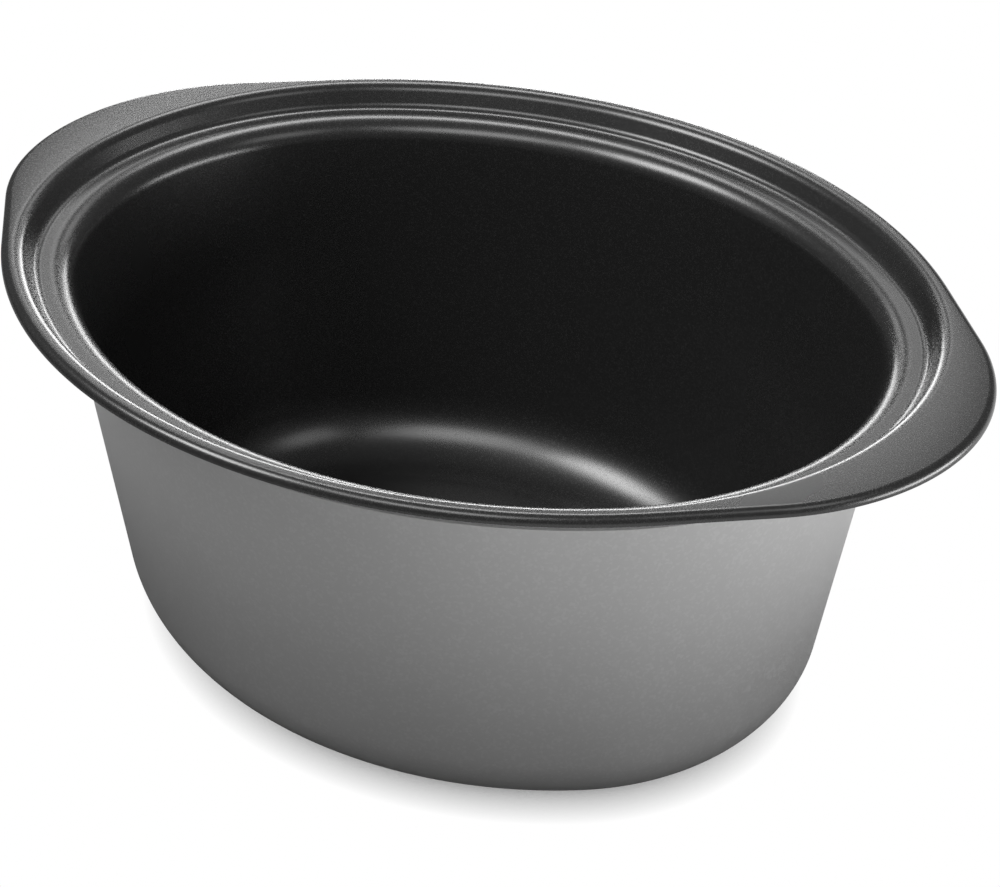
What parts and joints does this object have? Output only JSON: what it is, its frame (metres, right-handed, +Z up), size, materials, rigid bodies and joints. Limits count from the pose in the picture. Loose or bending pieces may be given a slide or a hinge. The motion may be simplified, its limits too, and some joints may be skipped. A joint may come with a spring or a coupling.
{
  "type": "slow cooker inner pot",
  "caption": "Oval non-stick cooking pot with a leaning wall, a stepped lid seat and flat lugs at both ends, the lift-out inner pot of a slow cooker.",
  "frame": {"origin": "middle of the bare pad that the pot stands on", "axes": "+X along the long way of the oval, through both lugs; +Z up, out of the mouth"},
  "size_m": [0.2996, 0.2324, 0.12],
  "materials": {
    "pressed_aluminium": "ground bare metal, seen only on the pad under the floor",
    "black_nonstick": "satin black non-stick coat with a fine sparkle",
    "grey_metallic_coat": "satin grey metallic coat with a fine speckle"
  },
  "bodies": {
    "root": {"pot_shell": "pressed_aluminium", "nonstick_lining": "black_nonstick", "outer_coat": "grey_metallic_coat"}
  },
  "joints": []
}
